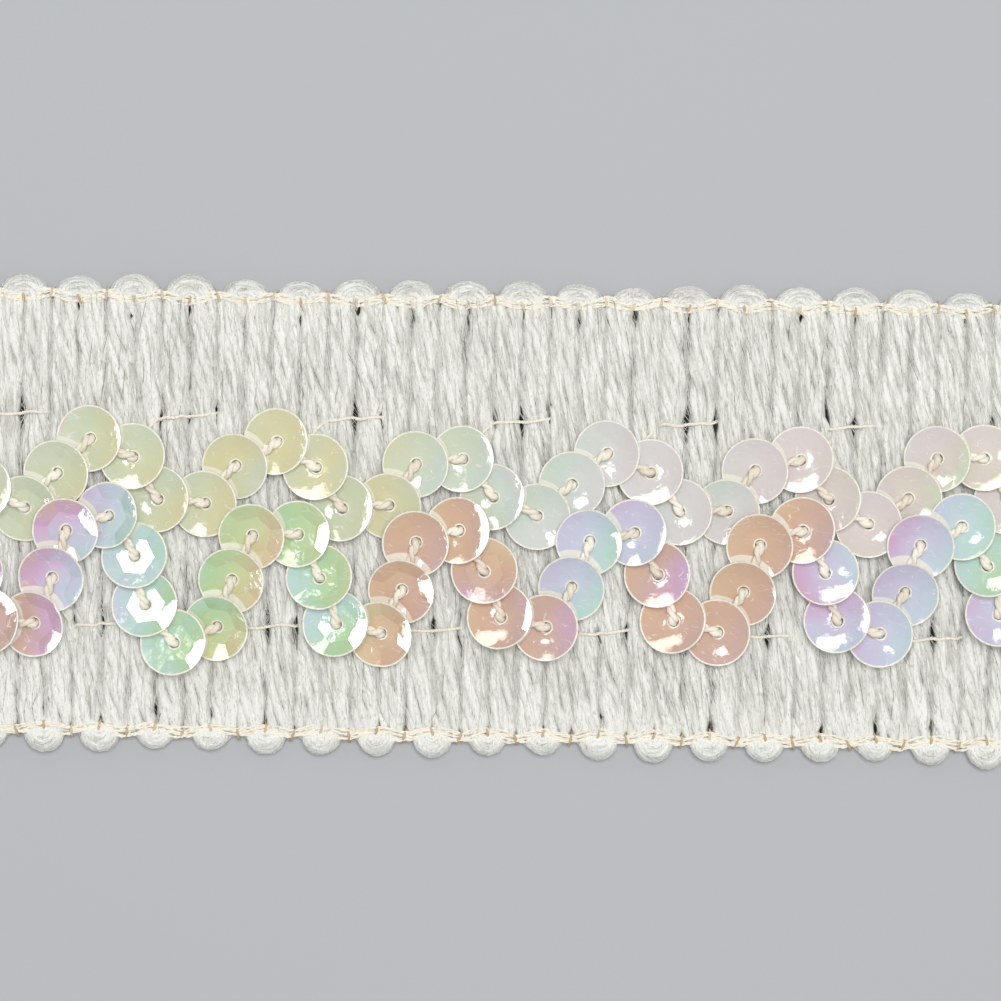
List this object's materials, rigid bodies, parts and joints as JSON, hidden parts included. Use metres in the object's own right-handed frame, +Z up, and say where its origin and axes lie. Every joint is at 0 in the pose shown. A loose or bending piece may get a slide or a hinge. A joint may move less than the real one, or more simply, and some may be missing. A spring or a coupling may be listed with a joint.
{
  "type": "sequined braid trim",
  "caption": "Flat length of fluffy yarn braid with scalloped, bound edges and wavy strings of faceted cup sequins along its front, for sewing or gluing on as an edging.",
  "frame": {"origin": "middle of the flat back, on the surface it lies on", "axes": "+X along the trim, +Y across it, +Z up through the sequins"},
  "size_m": [0.12, 0.0426, 0.0046],
  "materials": {
    "yarn": "matt, fluffy",
    "binding": "twisted thread",
    "pale_sequins": "pearl, iridescent",
    "deep_sequins": "pearl, iridescent"
  },
  "bodies": {
    "root": {"yarn_body": "yarn", "binding_far": "binding", "binding_near": "binding", "sequin_string_far": "pale_sequins", "sequin_string_near": "deep_sequins"}
  },
  "joints": []
}
